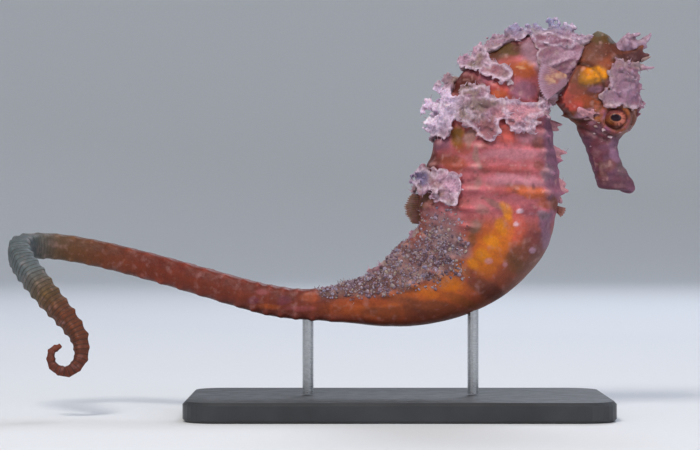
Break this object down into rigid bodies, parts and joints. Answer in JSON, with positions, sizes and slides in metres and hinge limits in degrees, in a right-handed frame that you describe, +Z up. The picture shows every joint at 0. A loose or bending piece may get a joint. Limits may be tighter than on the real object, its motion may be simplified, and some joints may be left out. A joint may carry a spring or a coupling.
{
  "type": "seahorse on a display stand",
  "caption": "Male seahorse with ruffled growths on its back, snout tucked down and tail swept back into a hook, held over a flat base by short rods.",
  "frame": {"origin": "middle of the model's box, at the underside of the stand's base", "axes": "+X the way the animal faces, +Z up, the animal's left side towards +Y"},
  "size_m": [0.1296, 0.046, 0.0798],
  "materials": {
    "skin_trunk": "ringed skin over bony plates, dull pink and orange",
    "skin_pouch": "smooth stretched skin, bright orange, satin",
    "skin_tail": "ringed skin, orange brown",
    "skin_head": "bony head under thin skin, orange brown",
    "skin_snout": "thin skin, dusky mauve brown",
    "gill_cover": "smooth plate under thin skin, yellow orange",
    "coronet": "rough bony crown, dark brown",
    "growth": "soft ruffled crust, pale pink lilac with lighter edges",
    "fin": "thin ribbed membrane, translucent pink brown",
    "eye": "wet orange iris round a dark pupil",
    "stand_base": "satin dark powder coat on steel plate",
    "stand_rod": "turned and brushed rod"
  },
  "bodies": {
    "root": {"snout": "skin_snout", "head": "skin_head", "gill_cover_left": "gill_cover", "gill_cover_right": "gill_cover", "eye_left": "eye", "eye_right": "eye", "coronet": "coronet", "coronet_frond": "growth", "neck": "skin_trunk", "trunk_upper": "skin_trunk", "trunk_middle": "skin_trunk", "trunk_lower": "skin_trunk", "brood_pouch": "skin_pouch", "tail_1": "skin_tail", "tail_2": "skin_tail", "tail_3": "skin_tail", "tail_4": "skin_tail", "tail_5": "skin_tail", "tail_6": "skin_tail", "tail_7": "skin_tail", "tail_8": "skin_tail", "tail_9": "skin_tail", "tail_10": "skin_tail", "tail_tip": "skin_tail", "pectoral_fin_left": "fin", "pectoral_fin_right": "fin", "dorsal_fin": "fin", "anal_fin": "fin", "stand_base": "stand_base", "stand_rod_front": "stand_rod", "stand_rod_rear": "stand_rod"}
  },
  "joints": []
}
